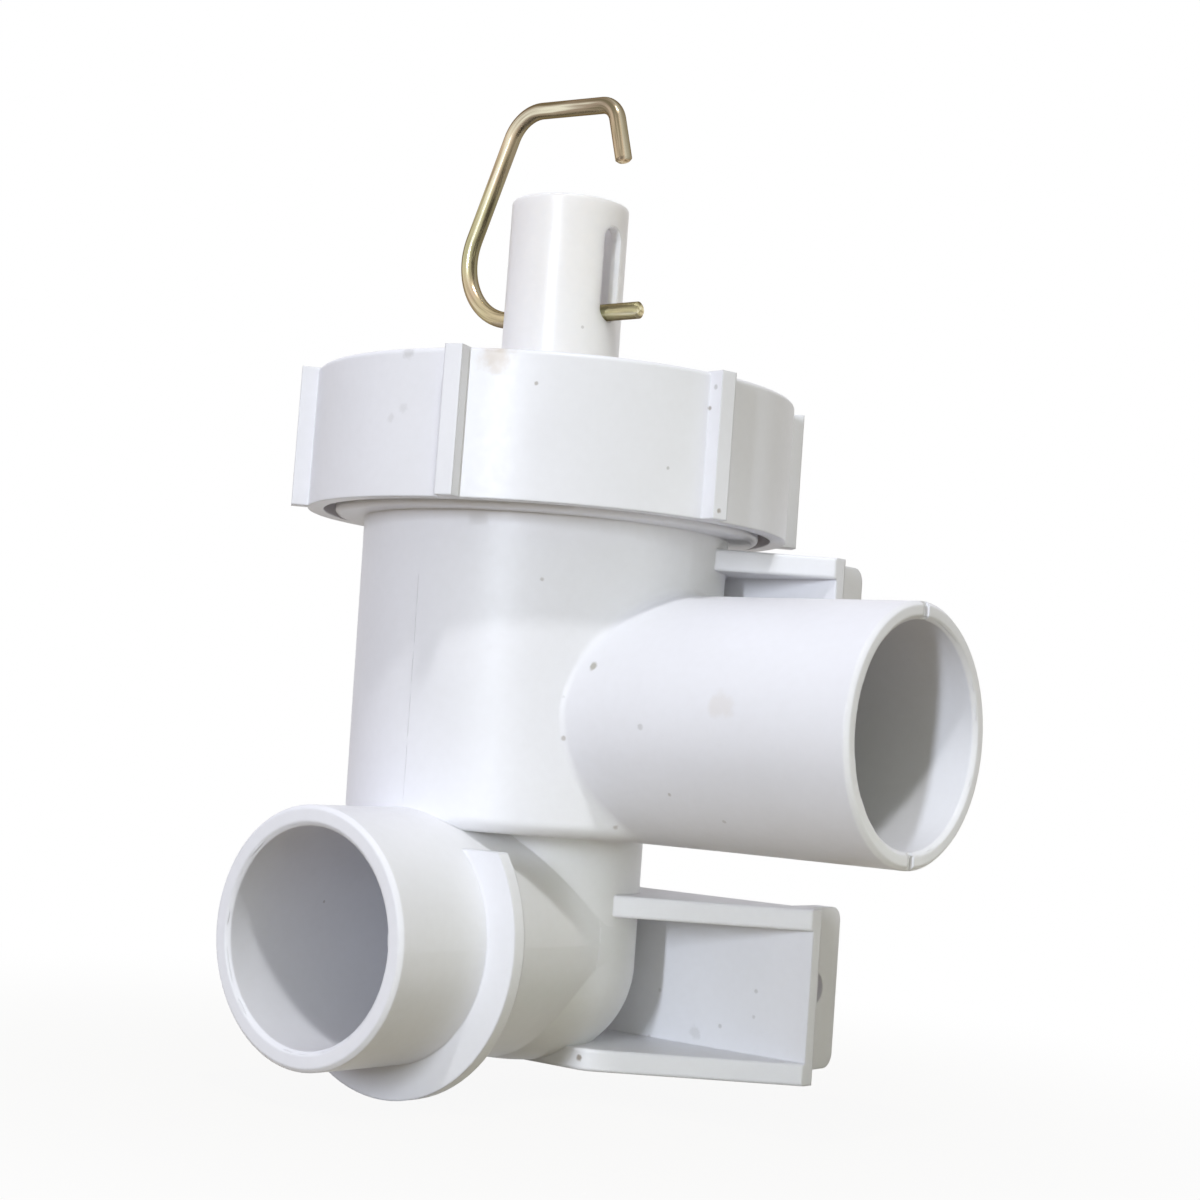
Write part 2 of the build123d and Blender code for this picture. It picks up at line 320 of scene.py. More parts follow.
def white_plastic(name, tones, roughness, specks, spots, edge_round, milky=0.0, glow_bore_radius=0.0):
    """Lengths are in mm; a spot is its middle, radius, strength, colour and raggedness."""
    material, tree, surface = new_material(name)
    place = add(tree, "ShaderNodeTexCoord").outputs["Object"]
    base = ramp(tree, grain(tree, place, DRIFT_SCALE, 4.0), tones, 0.30, 0.68)
    mottle = grain(tree, place, MOTTLE_SCALE, 3.0)
    base = mix_colour(tree, spread(tree, mottle, 0.25, 0.75, 0.0, 0.14), base, MOTTLE_GREY)
    base = mix_colour(tree, speck_mask(tree, place, specks), base, SPECK_BROWN)
    for middle, radius, strength, spot_colour, ragged in spots:
        mask = spot_mask(tree, place, [v * MM for v in middle], radius * MM, ragged)
        base = mix_colour(tree, calc(tree, "MULTIPLY", mask, strength), base, spot_colour)
    # Inside the bore the plastic is painted lighter: a painted glow for light that comes through the thin
    # wall.
    if glow_bore_radius:
        flat = add(tree, "ShaderNodeVectorMath", {0: place, 1: (1, 1, 0)}, operation="MULTIPLY").outputs[0]
        reach = add(tree, "ShaderNodeVectorMath", {0: flat}, operation="LENGTH").outputs["Value"]
        base = mix_colour(tree, calc(tree, "LESS_THAN", reach, glow_bore_radius * MM), base, PAINTED_BORE_GLOW)
    tree.links.new(base, surface["Base Color"])
    gloss = spread(tree, mottle, 0.0, 1.0, roughness - 0.06, roughness + 0.08)
    tree.links.new(gloss, surface["Roughness"])
    normal = add(tree, "ShaderNodeBevel", {"Radius": edge_round * MM}, samples=6).outputs[0]
    normal = bump(tree, grain(tree, place, FINE_SCALE), 0.10, 0.05 * MM, normal)
    normal = bump(tree, grain(tree, place, WAVE_SCALE), 0.12, 0.25 * MM, normal)
    tree.links.new(normal, surface["Normal"])
    surface["Specular IOR Level"].default_value = PLASTIC_GLOSS
    surface["Subsurface Weight"].default_value = milky
    surface["Subsurface Radius"].default_value = MILKY_REACH
    surface["Subsurface Scale"].default_value = MILKY_DEPTH
    return material


LILAC = [(0.78, 0.78, 0.81), (0.82, 0.82, 0.855)]
PEARL = [(0.815, 0.785, 0.76), (0.855, 0.825, 0.80)]
BEIGE, BROWN, GREY, MOSS = (0.55, 0.46, 0.36), (0.25, 0.20, 0.15), (0.42, 0.41, 0.40), (0.33, 0.31, 0.25)
CAP_SPOTS = [
    ((14.1, -29.0, 88.3), 2.6, 0.60, BEIGE, 1.2),
    ((29.6, -13.0, 76.6), 0.30, 0.7, GREY, 0.5),
    ((18.7, -26.3, 85.3), 0.35, 0.6, BROWN, 0.5),
    ((31.6, -7.9, 84.8), 0.40, 0.7, BROWN, 0.5),
    ((32.4, -8.1, 87.4), 0.45, 0.6, GREY, 0.6),
    ((33.7, -7.4, 72.0), 0.45, 0.7, BROWN, 0.6),
    ((2.5, -32.2, 88.8), 1.1, 0.35, GREY, 1.2),
    ((2.5, -32.2, 81.9), 0.8, 0.18, GREY, 1.0),
    ((0.5, -32.3, 80.7), 0.7, 0.18, GREY, 1.0),
]
BODY_SPOTS = [
    ((42.0, -16.0, 47.8), 2.2, 0.20, BEIGE, 1.2),
    ((21.7, -15.0, 51.8), 0.75, 0.75, MOSS, 0.8),
    ((30.4, -16.0, 44.6), 0.55, 0.45, GREY, 0.8),
    ((18.5, -15.8, 42.6), 0.45, 0.5, BROWN, 0.6),
    ((18.2, -16.0, 47.7), 0.35, 0.4, GREY, 0.6),
    ((33.4, -13.2, 36.7), 0.35, 0.4, BROWN, 0.6),
    ((15.6, -18.8, 62.1), 0.35, 0.4, BROWN, 0.6),
    ((24.3, -2.2, 62.3), 0.35, 0.4, BROWN, 0.6),
    ((22.6, -9.2, 31.9), 0.5, 0.5, BROWN, 0.6),
    ((27.7, 16.9, 11.2), 0.4, 0.5, GREY, 0.5),
    ((22.3, 16.9, 5.9), 0.4, 0.5, GREY, 0.5),
    ((18.3, 16.9, 4.4), 1.1, 0.25, GREY, 1.2),
    ((12.0, 16.9, 9.4), 0.4, 0.4, GREY, 0.5),
    ((10.7, 16.9, 2.9), 0.4, 0.4, GREY, 0.5),
    ((27.6, 16.9, 7.8), 0.35, 0.4, GREY, 0.5),
    ((13.35, -1.55, 1.6), 0.55, 0.8, BROWN, 0.6),
]
body_finish = white_plastic(
    "body_white", LILAC, roughness=0.40, specks=0.16, spots=BODY_SPOTS, edge_round=0.45
)
cap_finish = white_plastic(
    "cap_white", LILAC, roughness=0.37, specks=0.16, spots=CAP_SPOTS, edge_round=0.35
)
# The sleeve's bore is painted lighter, a painted glow.
sleeve_finish = white_plastic(
    "sleeve_white",
    PEARL,
    roughness=0.30,
    specks=0.08,
    spots=[],
    edge_round=0.20,
    milky=0.8,
    glow_bore_radius=7.9,
)
print("plastics:", body_finish.name, cap_finish.name, sleeve_finish.name)

# %% [markdown]
# The hook is steel wire with yellow-passivated zinc. The passivation shifts from straw to pink and
# green along the wire, and drawing leaves dark and light lines that run along it. The swept meshes
# below keep two attributes for this: the place in the section, and the length along the wire. Noise
# on the section, stretched along the wire, gives the lines. The two sides of the section are painted
# dark, a painted dark reflection along the wire. The hook's top arm is painted duller and rosier, a
# painted darker reflection. The springs share the tree in bare steel.

# %% Wire finishes
DRAWN_STRETCH, LINE_SCALE, LINE_DEPTH = 0.05, 1300.0, 0.08
# From this share of the wire's radius outwards, the wire's two sides are painted dark: a painted dark
# reflection.
HOOK_WIRE, DARK_EDGE_FROM = 1.15, 0.55
# Above this height the hook's top arm is painted duller and rosier: a painted darker reflection.
TOP_REFLECTION_FROM, TOP_REFLECTION_TO, PAINTED_TOP_REFLECTION = 126.0, 128.5, (0.29, 0.225, 0.165)


def wire(name, tones, line_and_edge_tones, dark_edge_share, edge_tint, roughness, drift_scale, top_reflection_share=0.0):
    material, tree, surface = new_material(name)
    place = add(tree, "ShaderNodeTexCoord").outputs["Object"]
    base = ramp(tree, grain(tree, place, drift_scale, 3.0), tones, 0.32, 0.68)
    height = add(tree, "ShaderNodeSeparateXYZ", {0: place}).outputs["Z"]
    # The top arm is painted duller and rosier, a painted darker reflection.
    top_reflection = spread(tree, height, TOP_REFLECTION_FROM * MM, TOP_REFLECTION_TO * MM, 0.0, top_reflection_share)
    base = mix_colour(tree, top_reflection, base, PAINTED_TOP_REFLECTION)
    section = add(tree, "ShaderNodeAttribute", attribute_name="section").outputs["Vector"]
    along = add(tree, "ShaderNodeAttribute", attribute_name="along").outputs["Fac"]
    run = add(tree, "ShaderNodeCombineXYZ", {"Z": calc(tree, "MULTIPLY", along, DRAWN_STRETCH)}).outputs[0]
    drawn = add(tree, "ShaderNodeVectorMath", {0: section, 1: run}, operation="ADD").outputs[0]
    lines = grain(tree, drawn, LINE_SCALE, 3.0)
    base = mix_colour(tree, spread(tree, lines, 0.50, 0.34, 0.0, 0.85), base, line_and_edge_tones[0])
    base = mix_colour(tree, spread(tree, lines, 0.52, 0.68, 0.0, 0.8), base, line_and_edge_tones[1])
    # The two sides of the section are painted dark, a painted dark reflection along the wire.
    across = add(tree, "ShaderNodeSeparateXYZ", {0: section}).outputs["Y"]
    off_middle = calc(tree, "ABSOLUTE", across)
    painted_dark_edge = spread(tree, off_middle, DARK_EDGE_FROM * HOOK_WIRE * MM, HOOK_WIRE * MM, 0.0, dark_edge_share)
    base = mix_colour(tree, painted_dark_edge, base, line_and_edge_tones[0])
    tree.links.new(base, surface["Base Color"])
    surface["Metallic"].default_value = 1.0
    surface["Specular Tint"].default_value = (*edge_tint, 1)
    gloss = spread(tree, lines, 0.2, 0.8, roughness + 0.12, roughness - 0.08)
    tree.links.new(gloss, surface["Roughness"])
    tree.links.new(bump(tree, lines, 0.25, LINE_DEPTH * MM), surface["Normal"])
    return material


STRAW, ROSE, OLIVE = (0.60, 0.53, 0.32), (0.63, 0.48, 0.33), (0.47, 0.45, 0.26)
UMBER, PALE_STRAW = (0.15, 0.125, 0.07), (0.91, 0.87, 0.68)
STEEL = [(0.52, 0.52, 0.53), (0.66, 0.66, 0.67)]
STEEL_LINES, STEEL_EDGE = [(0.30, 0.30, 0.31), (0.75, 0.75, 0.76)], (0.6, 0.6, 0.6)
GOLD, GOLD_LINE_AND_EDGE_TONES, GOLD_EDGE = [OLIVE, STRAW, ROSE, STRAW], [UMBER, PALE_STRAW], (0.40, 0.335, 0.28)
# On the hook, the wire's sides are painted dark and its top arm duller and rosier: both are painted
# reflection.
hook_finish = wire(
    "passivated_wire",
    GOLD,
    GOLD_LINE_AND_EDGE_TONES,
    dark_edge_share=0.75,
    edge_tint=GOLD_EDGE,
    roughness=0.20,
    drift_scale=75.0,
    top_reflection_share=0.85,
)
spring_finish = wire(
    "spring_wire",
    STEEL,
    STEEL_LINES,
    dark_edge_share=0.0,
    edge_tint=STEEL_EDGE,
    roughness=0.30,
    drift_scale=300.0,
)

# %% [markdown]
# The bellows are black rubber: nearly matt, with a faint bloom that greys it in places.

# %% Rubber
RUBBER_BLACK, BLOOM_GREY, RUBBER_ROUGHNESS = (0.028, 0.028, 0.030), (0.065, 0.064, 0.066), 0.62
BLOOM_SCALE, RUBBER_GRAIN, RUBBER_ROUND = 140.0, 1500.0, 0.4


def rubber(name):
    material, tree, surface = new_material(name)
    place = add(tree, "ShaderNodeTexCoord").outputs["Object"]
    bloom = grain(tree, place, BLOOM_SCALE, 4.0)
    base = mix_colour(tree, bloom, RUBBER_BLACK, BLOOM_GREY)
    tree.links.new(base, surface["Base Color"])
    normal = add(tree, "ShaderNodeBevel", {"Radius": RUBBER_ROUND * MM}, samples=6).outputs[0]
    normal = bump(tree, grain(tree, place, RUBBER_GRAIN), 0.2, 0.05 * MM, normal)
    tree.links.new(normal, surface["Normal"])
    surface["Roughness"].default_value = RUBBER_ROUGHNESS
    return material


rubber_finish = rubber("black_rubber")
finishes = {
    "valve_body": body_finish,
    "screw_cap": cap_finish,
    "guide_sleeve": sleeve_finish,
    "rubber_bellows": rubber_finish,
    "outer_spring": spring_finish,
    "inner_spring": spring_finish,
    "pull_hook": hook_finish,
}
for node, finish in finishes.items():
    nodes[node].data.materials.clear()
    nodes[node].data.materials.append(finish)

# %% [markdown]
# Springs, threads, the hook and even a mould seam follow one rule: a section is carried along a path.
# Geometry Nodes does that with Curve to Mesh. The helpers here make a tree with named inputs, sweep a
# section so that the two wire attributes stay on the mesh, and end the tree with smooth shading, crisp
# edges and the material. Afterwards the result becomes a plain mesh, because the other tools take no
# live modifiers.

# %% Sweeping with Geometry Nodes
SHARP_ANGLE = math.radians(35)
FLOAT, INTEGER, VECTOR, MATERIAL = (
    "NodeSocket" + kind for kind in ("Float", "Int", "Vector", "Material")
)


def group_with(name, sizes):
    """New tree with named inputs; gives the tree, its inputs, and the key of each on a modifier."""
    group = bpy.data.node_groups.new(name, "GeometryNodeTree")
    group.interface.new_socket("Geometry", in_out="INPUT", socket_type="NodeSocketGeometry")
    group.interface.new_socket("Geometry", in_out="OUTPUT", socket_type="NodeSocketGeometry")
    sizes = {**sizes, "Material": MATERIAL}
    keys = {
        label: group.interface.new_socket(label, in_out="INPUT", socket_type=kind).identifier
        for label, kind in sizes.items()
    }
    return group, group.nodes.new("NodeGroupInput").outputs, keys


def keep_attribute(group, geometry, name, value, data_type):
    into = {"Geometry": geometry, "Name": name}
    store = add(group, "GeometryNodeStoreNamedAttribute", into, data_type=data_type, domain="POINT")
    group.links.new(value, store.inputs["Value"])
    return store.outputs[0]


def sweep(group, path, section, girth=1.0):
    """Carries a section along a path, and keeps the length and the section's own place on the mesh."""
    length = add(group, "GeometryNodeSplineParameter").outputs["Length"]
    path = keep_attribute(group, path, "along", length, "FLOAT")
    spot = add(group, "GeometryNodeInputPosition").outputs[0]
    section = keep_attribute(group, section, "section", spot, "FLOAT_VECTOR")
    into = {"Curve": path, "Profile Curve": section, "Scale": girth, "Fill Caps": True}
    return add(group, "GeometryNodeCurveToMesh", into).outputs[0]


def finish_group(group, mesh, entry):
    smooth = add(group, "GeometryNodeSetShadeSmooth", {"Geometry": mesh}).outputs[0]
    angle = add(group, "GeometryNodeInputMeshEdgeAngle").outputs["Unsigned Angle"]
    into = {"Geometry": smooth, "Shade Smooth": False}
    crisp = add(group, "GeometryNodeSetShadeSmooth", into, domain="EDGE")
    group.links.new(calc(group, "GREATER_THAN", angle, SHARP_ANGLE), crisp.inputs["Selection"])
    real = add(group, "GeometryNodeRealizeInstances", {"Geometry": crisp.outputs[0]}).outputs[0]
    into = {"Geometry": real, "Material": entry["Material"]}
    painted = add(group, "GeometryNodeSetMaterial", into).outputs[0]
    group.links.new(painted, group.nodes.new("NodeGroupOutput").inputs["Geometry"])


def grow(name, tree, start=None, **sizes):
    """Runs a tree on an object, and keeps the result as a plain mesh object at the origin."""
    group, keys = tree
    start = start or bpy.data.objects.new(name + "_start", bpy.data.meshes.new(name + "_start"))
    scene.collection.objects.link(start)
    modifier = start.modifiers.new("grow", "NODES")
    modifier.node_group = group
    for label, value in sizes.items():
        modifier[keys[label.replace("_", " ")]] = value
    bpy.context.view_layer.update()
    ready = start.evaluated_get(bpy.context.evaluated_depsgraph_get())
    mesh = bpy.data.meshes.new_from_object(ready)
    mesh.name = name
    piece = bpy.data.objects.new(name, mesh)
    scene.collection.objects.link(piece)
    bpy.data.objects.remove(start)
    low = [min(v.co[k] for v in mesh.vertices) / MM for k in range(3)]
    high = [max(v.co[k] for v in mesh.vertices) / MM for k in range(3)]
    print(name, len(mesh.polygons), "faces, mm", [round(v, 1) for v in low + high])
    return piece


# %% [markdown]
# The first tree winds a helix. It takes a radius, a height and a number of turns. A spring has a round
# section, and a thread has a trapezoid, whose foot sinks a little into the wall that carries it.

# %% Helix tree


def helix_tree(name, round_section):
    sizes = {
        "Coil radius": FLOAT,
        "Height": FLOAT,
        "Turns": FLOAT,
        "Steps per turn": INTEGER,
        "Base": VECTOR,
        "Turned by": FLOAT,
        "Section size": FLOAT,
        "Section reach": FLOAT,
        "Section turned by": FLOAT,
    }
    group, entry, keys = group_with(name, sizes)
    spiral = {
        "Resolution": entry["Steps per turn"],
        "Rotations": entry["Turns"],
        "Start Radius": entry["Coil radius"],
        "End Radius": entry["Coil radius"],
        "Height": entry["Height"],
        "Reverse": True,
    }
    helix = add(group, "GeometryNodeCurveSpiral", spiral).outputs[0]
    helix = add(group, "GeometryNodeSetCurveNormal", {"Curve": helix}, mode="Z_UP").outputs[0]
    if round_section:
        into = {"Radius": entry["Section size"], "Resolution": 12}
        section = add(group, "GeometryNodeCurvePrimitiveCircle", into).outputs[0]
    else:
        trapezoid = {
            "Height": entry["Section reach"],
            "Bottom Width": entry["Section size"],
            "Top Width": calc(group, "MULTIPLY", entry["Section size"], 0.5),
            "Offset": 0.0,
        }
        section = add(
            group, "GeometryNodeCurvePrimitiveQuadrilateral", trapezoid, mode="TRAPEZOID"
        ).outputs[0]
        side = add(group, "ShaderNodeCombineXYZ", {"Z": entry["Section turned by"]}).outputs[0]
        section = add(group, "GeometryNodeTransform", {"Geometry": section, "Rotation": side}).outputs[0]
    turn = add(group, "ShaderNodeCombineXYZ", {"Z": entry["Turned by"]}).outputs[0]
    into = {"Geometry": sweep(group, helix, section), "Translation": entry["Base"], "Rotation": turn}
    finish_group(group, add(group, "GeometryNodeTransform", into).outputs[0], entry)
    return group, keys


coil_tree = helix_tree("wound_wire", True)
thread_tree = helix_tree("screw_thread", False)

# %% [markdown]
# The thick spring pushes the plug down, away from the cap. It replaces the plain solid.

# %% Push spring
SPRING_SEAT_Z, CAP_UNDER_Z = 43.2, 87.05
PUSH_WIRE, PUSH_COIL, PUSH_TURNS, END_ROOM = 0.8, 11.6, 7, 0.9
push_spring = grow(
    "push_spring",
    coil_tree,
    Coil_radius=PUSH_COIL * MM,
    Height=(CAP_UNDER_Z - SPRING_SEAT_Z - 2 * END_ROOM) * MM,
    Turns=float(PUSH_TURNS),
    Steps_per_turn=48,
    Base=(0, 0, (SPRING_SEAT_Z + END_ROOM) * MM),
    Turned_by=math.radians(90),
    Section_size=PUSH_WIRE * MM,
    Material=spring_finish,
)
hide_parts("outer_spring")
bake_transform(push_spring)

# %% [markdown]
# Between the cap and the neck sit the threads. Nobody sees more than their lowest turn, in the gap under
# the cap, but they are what makes the cap a screw cap. Both are right-handed with a pitch of 4 mm, and
# lie half a pitch apart, so that they pass each other as the cap turns.

# %% Threads
THREAD_PITCH, THREAD_FOOT, THREAD_DEPTH, THREAD_SINK = 4.0, 1.7, 1.0, 0.1
NECK_RADIUS, CAP_BORE = 28.6, 30.2
NECK_THREAD_Z, NECK_THREAD_TURNS = 73.2, 2.25
CAP_THREAD_Z, CAP_THREAD_TURNS = 73.2, 2.0
OUTWARD, INWARD = math.radians(-90), math.radians(90)


def thread(name, middle_radius, base_z, turns, turned_by, section_turn, material):
    return grow(
        name,
        thread_tree,
        Coil_radius=middle_radius * MM,
        Height=turns * THREAD_PITCH * MM,
        Turns=turns,
        Steps_per_turn=96,
        Base=(0, 0, base_z * MM),
        Turned_by=turned_by,
        Section_size=THREAD_FOOT * MM,
        Section_reach=THREAD_DEPTH * MM,
        Section_turned_by=section_turn,
        Material=material,
    )


neck_middle = NECK_RADIUS + THREAD_DEPTH / 2 - THREAD_SINK
neck_thread = thread(
    "neck_thread", neck_middle, NECK_THREAD_Z, NECK_THREAD_TURNS, 0.0, OUTWARD, body_finish
)
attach(neck_thread, "body")
cap_middle = CAP_BORE - THREAD_DEPTH / 2 + THREAD_SINK
cap_thread = thread(
    "cap_thread", cap_middle, CAP_THREAD_Z, CAP_THREAD_TURNS, math.pi, INWARD, cap_finish
)
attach(cap_thread, "cap")

# %% [markdown]
# The second tree bends a wire along any line of points. Each point carries the radius of its bend, which
# Fillet Curve rounds, and a girth, which thins the wire. So a thin girth at the very end gives the
# small bevel of a cut wire.

# %% Bent wire tree


def named(group, name):
    into = {"Name": name}
    return add(group, "GeometryNodeInputNamedAttribute", into, data_type="FLOAT").outputs["Attribute"]


def bent_wire_tree():
    sizes = {"Wire radius": FLOAT, "Steps in a bend": INTEGER, "Steps around": INTEGER}
    group, entry, keys = group_with("bent_wire", sizes)
    path = add(group, "GeometryNodeMeshToCurve", {"Mesh": entry["Geometry"]}).outputs[0]
    into = {"Curve": path, "Count": entry["Steps in a bend"], "Radius": named(group, "bend")}
    path = add(group, "GeometryNodeFilletCurve", {**into, "Limit Radius": True}, mode="POLY").outputs[0]
    into = {"Radius": entry["Wire radius"], "Resolution": entry["Steps around"]}
    section = add(group, "GeometryNodeCurvePrimitiveCircle", into).outputs[0]
    finish_group(group, sweep(group, path, section, named(group, "girth")), entry)
    return group, keys


def line_of_points(name, points, closed=False):
    """Bare line of edges. Each point is its place in mm, the radius of its bend in mm, and its girth."""
    mesh = bpy.data.meshes.new(name)
    edges = [(k, k + 1) for k in range(len(points) - 1)]
    if closed:
        edges.append((len(points) - 1, 0))
    mesh.from_pydata([[v * MM for v in place] for place, bend, girth in points], edges, [])
    bends, girths = [bend * MM for place, bend, girth in points], [girth for place, bend, girth in points]
    mesh.attributes.new("bend", "FLOAT", "POINT").data.foreach_set("value", bends)
    mesh.attributes.new("girth", "FLOAT", "POINT").data.foreach_set("value", girths)
    return bpy.data.objects.new(name + "_line", mesh)


wire_tree = bent_wire_tree()

# %% [markdown]
# The hook is one length of wire, bent three times in one plane. Its straight leg goes through the slots
# of the sleeve, and its end is cut with a small bevel.

# %% Hook
LEG_Z, LEG_END_X, CUT_BEVEL, CUT_GIRTH = 99.95, 13.3, 0.3, 0.74
SIDE_X, TOP_X, TOP_Z = -22.2, -10.2, 129.45
NOSE_X, NOSE_Z, TIP_X, TIP_Z = 6.5, 128.65, 8.7, 120.55
SIDE_BEND, TOP_BEND, NOSE_BEND = 8.7, 5.5, 3.0
tip_run = Vector((NOSE_X - TIP_X, 0, NOSE_Z - TIP_Z)).normalized() * CUT_BEVEL
hook_line = [
    ((LEG_END_X, 0, LEG_Z), 0, CUT_GIRTH),
    ((LEG_END_X - CUT_BEVEL, 0, LEG_Z), 0, 1),
    ((SIDE_X, 0, LEG_Z), SIDE_BEND, 1),
    ((TOP_X, 0, TOP_Z), TOP_BEND, 1),
    ((NOSE_X, 0, NOSE_Z), NOSE_BEND, 1),
    ((TIP_X + tip_run.x, 0, TIP_Z + tip_run.z), 0, 1),
    ((TIP_X, 0, TIP_Z), 0, CUT_GIRTH),
]
hook = grow(
    "hook_wire",
    wire_tree,
    line_of_points("hook_wire", hook_line),
    Wire_radius=HOOK_WIRE * MM,
    Steps_in_a_bend=24,
    Steps_around=32,
    Material=hook_finish,
)
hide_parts("pull_hook")
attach(hook, "hook")

# %% [markdown]
# The thin spring links the hook's leg to the bar in the sleeve. Its line is a half loop, a helix and
# another half loop, worked out point by point.

# %% Link spring
LINK_LOW, LINK_HIGH, LINK_COIL, LINK_WIRE = 49.3, 97.5, 4.3, 0.6
LINK_TURNS, TURN_STEPS, LOOP_SWEEP, LOOP_STEPS, LOOP_BEND = 12, 24, math.radians(165), 14, 0.5


def loop_point(middle_z, angle):
    return (0, LINK_COIL * math.cos(angle), middle_z + LINK_COIL * math.sin(angle))


def link_line():
    loop = [LOOP_SWEEP * k / LOOP_STEPS for k in range(1, LOOP_STEPS + 1)]
    line = [(loop_point(LINK_LOW, -angle), 0, 1) for angle in reversed(loop)]
    steps = LINK_TURNS * TURN_STEPS
    for k in range(steps + 1):
        angle = 2 * math.pi * k / TURN_STEPS
        place = (-LINK_COIL * math.sin(angle), LINK_COIL * math.cos(angle))
        bend = LOOP_BEND if k in (0, steps) else 0
        line.append(((*place, LINK_LOW + (LINK_HIGH - LINK_LOW) * k / steps), bend, 1))
    return line + [(loop_point(LINK_HIGH, angle), 0, 1) for angle in loop]


link_spring = grow(
    "link_spring",
    wire_tree,
    line_of_points("link_spring", link_line()),
    Wire_radius=LINK_WIRE * MM,
    Steps_in_a_bend=5,
    Steps_around=10,
    Material=spring_finish,
)
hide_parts("inner_spring")
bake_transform(link_spring)

# %% [markdown]
# A mould leaves its mark. Where its halves met, a hair-thin seam runs up the chamber, and where the cores
# of the spigots met the mould, a little flash stays on the rims. Both are the same bent wire, very
# thin, and their girth wanders, so that they show only here and there.

# %% Mould seam and flash
CHAMBER_LOW_Z, CHAMBER_TOP_Z, CHAMBER_LOW_R, CHAMBER_TOP_R = 32.0, 70.35, 24.15, 24.65
SEAM_WIRE, SEAM_PROUD, SEAM_FROM, SEAM_TO, SEAM_STEPS = 0.13, 0.03, 33.0, 63.0, 48
SEAM_GIRTH, SEAM_WANDER, SEAM_WAVES = 0.74, 0.6, 0.6
FLASH_WIRE, FLASH_STEPS, FLASH_BACK = 0.2, 240, 0.25
FLASH_GIRTH, FLASH_WANDER, FLASH_WAVES, FLASH_THINNEST = 0.5, 1.1, 6, 0.05
INLET_MOUTH, INLET_RIM_R = Vector((0, -39.55 + FLASH_BACK, 16.45)), 13.85
OUTLET_MOUTH, OUTLET_RIM_R = Vector((59.65 - FLASH_BACK, 0, 45.9)), 14.2


def chamber_radius(z):
    share = (z - CHAMBER_LOW_Z) / (CHAMBER_TOP_Z - CHAMBER_LOW_Z)
    return CHAMBER_LOW_R + (CHAMBER_TOP_R - CHAMBER_LOW_R) * share


def seam_line(side):
    line = []
    for k in range(SEAM_STEPS + 1):
        z = SEAM_FROM + (SEAM_TO - SEAM_FROM) * k / SEAM_STEPS
        girth = SEAM_GIRTH + SEAM_WANDER * fractal.noise(Vector((side, 0, z * SEAM_WAVES)))
        line.append(((0, side * (chamber_radius(z) + SEAM_PROUD - SEAM_WIRE), z), 0, girth))
    return line


def flash_line(middle, across, radius, seed):
    line = []
    for k in range(FLASH_STEPS):
        angle = 2 * math.pi * k / FLASH_STEPS
        around = Vector((math.cos(angle) * FLASH_WAVES, math.sin(angle) * FLASH_WAVES, seed))
        girth = FLASH_GIRTH + FLASH_WANDER * fractal.noise(around)
        place = middle + across * (radius * math.cos(angle)) + Vector((0, 0, radius * math.sin(angle)))
        line.append((place, 0, min(max(girth, FLASH_THINNEST), 1)))
    return line


def mould_mark(name, line, wire_radius, closed):
    mark = grow(
        name,
        wire_tree,
        line_of_points(name, line, closed),
        Wire_radius=wire_radius * MM,
        Steps_in_a_bend=1,
        Steps_around=8,
        Material=body_finish,
    )
    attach(mark, "body")


mould_mark("seam_front", seam_line(-1), SEAM_WIRE, False)
mould_mark("seam_back", seam_line(1), SEAM_WIRE, False)
inlet_rim = flash_line(INLET_MOUTH, Vector((1, 0, 0)), INLET_RIM_R, seed=0.0)
outlet_rim = flash_line(OUTLET_MOUTH, Vector((0, 1, 0)), OUTLET_RIM_R, seed=4.0)
mould_mark("inlet_flash", inlet_rim, FLASH_WIRE, True)
mould_mark("outlet_flash", outlet_rim, FLASH_WIRE, True)

# %% [markdown]
# The inlet's root is a hair wider than the elbow, because it has draft, and ends in a tiny step on both of
# the elbow's sides. A mould maker rubs such a step out. A thin shell does it here: a grid of points that
# starts on the root, fades into the elbow, and dips under the surface all round, so that no border shows.

# %% Fade of the inlet's root
ROOT_R, ELBOW_R, ROOT_Z = 16.15, 16.0, 16.45
FADE_HALF_HEIGHT, FADE_FROM, FADE_TO, FADE_STEPS, FADE_DEPTH = 3.4, -2.5, 5.0, 30, 0.5
FADE_LIFT, FADE_REACH, SINK_ON_ROOT, SINK_ON_ELBOW = 0.008, 3.5, 0.015, 0.05
SINK_ROOT_Y, SINK_ELBOW_Y = -0.5, 2.5


def piece_of(shape, name, material):
    """Makes an object of a bmesh, smooth apart from its sharp edges."""
    bmesh.ops.remove_doubles(shape, verts=shape.verts, dist=0.01 * MM)
    bmesh.ops.recalc_face_normals(shape, faces=shape.faces)
    for face in shape.faces:
        face.smooth = True
    for edge in shape.edges:
        edge.smooth = edge.calc_face_angle(0.0) < SHARP_ANGLE
    mesh = bpy.data.meshes.new(name)
    shape.to_mesh(mesh)
    shape.free()
    mesh.materials.append(material)
    piece = bpy.data.objects.new(name, mesh)
    scene.collection.objects.link(piece)
    print(name, len(mesh.polygons), "faces")
    return piece


def fade_point(y, rise):
    """How far the shell stands from the YZ plane, at a place along the inlet and over its axis."""
    share = min(max(y / FADE_REACH, 0), 1)
    fade = 1 - share * share * (3 - 2 * share)
    step = math.sqrt(ROOT_R**2 - rise**2) - ELBOW_R
    sink = SINK_ON_ROOT * max(SINK_ROOT_Y - y, 0) + SINK_ON_ELBOW * max(y - SINK_ELBOW_Y, 0)
    return math.sqrt(ELBOW_R**2 - max(y, 0) ** 2) + min(step, step * fade) + FADE_LIFT - sink


